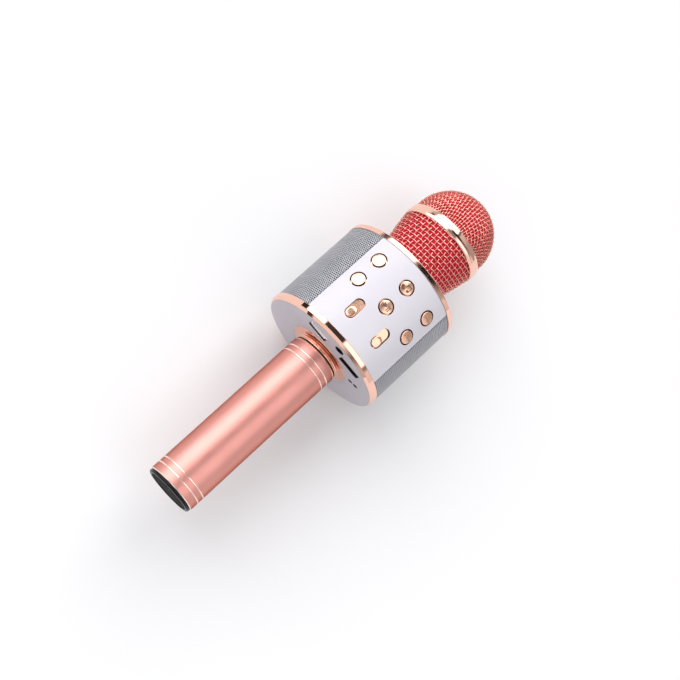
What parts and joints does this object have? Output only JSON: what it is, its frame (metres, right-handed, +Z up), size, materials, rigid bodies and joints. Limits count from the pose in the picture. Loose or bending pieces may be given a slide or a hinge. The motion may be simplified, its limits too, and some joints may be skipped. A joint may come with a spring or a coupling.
{
  "type": "karaoke microphone",
  "caption": "Hand-held karaoke microphone with a tube handle, a round speaker drum with push buttons and slide switches, and a wire-mesh head with a foam windscreen.",
  "frame": {"origin": "on the surface the drum lies on, under the middle of the microphone's length", "axes": "+X along the handle towards the mesh head, +Z up out of the control panel, +Y towards the left speaker as seen from the panel with the head up"},
  "size_m": [0.2432, 0.08, 0.0802],
  "materials": {
    "satin_rose_metal": "satin anodised rose gold",
    "mirror_rose_metal": "mirror rose-gold plating",
    "rose_plated_plastic": "rose-gold plated plastic",
    "silver_panel": "pale silver lacquer",
    "grey_plate": "satin grey",
    "black_plastic": "moulded black",
    "white_plastic": "moulded white",
    "grille_metal": "perforated, grey",
    "wire_mesh": "woven rose-gold wire",
    "red_foam": "open-cell foam",
    "foam_pad": "closed-cell foam",
    "steel": "plain",
    "magnet": "ferrite",
    "paper_cone": "pressed paper",
    "circuit_board": "solder mask",
    "flex_board": "polyimide film on a moulded backing",
    "cell_wrap": "shrink wrap",
    "led_lens": "diffused lens"
  },
  "bodies": {
    "root": {"handle_tube": "satin_rose_metal", "end_cap": "black_plastic", "battery": "cell_wrap", "battery_sleeve": "foam_pad", "handle_collar": "mirror_rose_metal", "collar_nut": "steel", "bottom_plate": "grey_plate", "bottom_ring": "mirror_rose_metal", "chassis": "black_plastic", "top_plate": "grey_plate", "top_ring": "mirror_rose_metal", "front_panel": "silver_panel", "back_panel": "silver_panel", "left_grille": "grille_metal", "right_grille": "grille_metal", "speaker_screws": "steel", "main_board": "circuit_board", "board_screws": "steel", "board_parts": "black_plastic", "key_board": "flex_board", "tact_switches": "black_plastic", "slide_switches": "steel", "usb_shell": "steel", "usb_tongue": "white_plastic", "card_slot": "black_plastic", "aux_jack": "black_plastic", "status_led": "led_lens", "head_socket": "black_plastic", "head_nut": "steel", "head_collar": "mirror_rose_metal", "lower_grille": "wire_mesh", "head_band": "mirror_rose_metal", "upper_grille": "wire_mesh", "lower_foam": "red_foam", "upper_foam": "red_foam", "capsule_post": "black_plastic", "capsule_cup": "foam_pad", "capsule": "steel", "left_speaker_basket": "steel", "left_speaker_cone": "paper_cone", "left_speaker_magnet": "magnet", "left_speaker_gasket": "foam_pad", "right_speaker_basket": "steel", "right_speaker_cone": "paper_cone", "right_speaker_magnet": "magnet", "right_speaker_gasket": "foam_pad"},
    "button_left_low": {"button_left_low": "rose_plated_plastic"},
    "button_left_top": {"button_left_top": "rose_plated_plastic"},
    "button_mid_low": {"button_mid_low": "rose_plated_plastic"},
    "button_mid_top": {"button_mid_top": "rose_plated_plastic"},
    "button_right_low": {"button_right_low": "rose_plated_plastic"},
    "button_right_top": {"button_right_top": "rose_plated_plastic"},
    "left_switch": {"left_switch_knob": "rose_plated_plastic", "left_switch_lever": "black_plastic"},
    "right_switch": {"right_switch_knob": "rose_plated_plastic", "right_switch_lever": "black_plastic"}
  },
  "joints": [
    {"name": "button_left_low_press", "type": "slide", "parent": "root", "child": "button_left_low", "axis": [0, -0.515, -0.8572], "range_m": [0, 0.0005], "stiffness_N_per_m": 1500, "springref_m": -0.0002},
    {"name": "button_left_top_press", "type": "slide", "parent": "root", "child": "button_left_top", "axis": [0, -0.515, -0.8572], "range_m": [0, 0.0005], "stiffness_N_per_m": 1500, "springref_m": -0.0002},
    {"name": "button_mid_low_press", "type": "slide", "parent": "root", "child": "button_mid_low", "axis": [0, 0, -1], "range_m": [0, 0.0005], "stiffness_N_per_m": 1500, "springref_m": -0.0002},
    {"name": "button_mid_top_press", "type": "slide", "parent": "root", "child": "button_mid_top", "axis": [0, 0, -1], "range_m": [0, 0.0005], "stiffness_N_per_m": 1500, "springref_m": -0.0002},
    {"name": "button_right_low_press", "type": "slide", "parent": "root", "child": "button_right_low", "axis": [0, 0.515, -0.8572], "range_m": [0, 0.0005], "stiffness_N_per_m": 1500, "springref_m": -0.0002},
    {"name": "button_right_top_press", "type": "slide", "parent": "root", "child": "button_right_top", "axis": [0, 0.515, -0.8572], "range_m": [0, 0.0005], "stiffness_N_per_m": 1500, "springref_m": -0.0002},
    {"name": "left_switch_slide", "type": "slide", "parent": "root", "child": "left_switch", "axis": [1, 0, 0], "range_m": [0, 0.0054]},
    {"name": "right_switch_slide", "type": "slide", "parent": "root", "child": "right_switch", "axis": [1, 0, 0], "range_m": [0, 0.0054]}
  ]
}
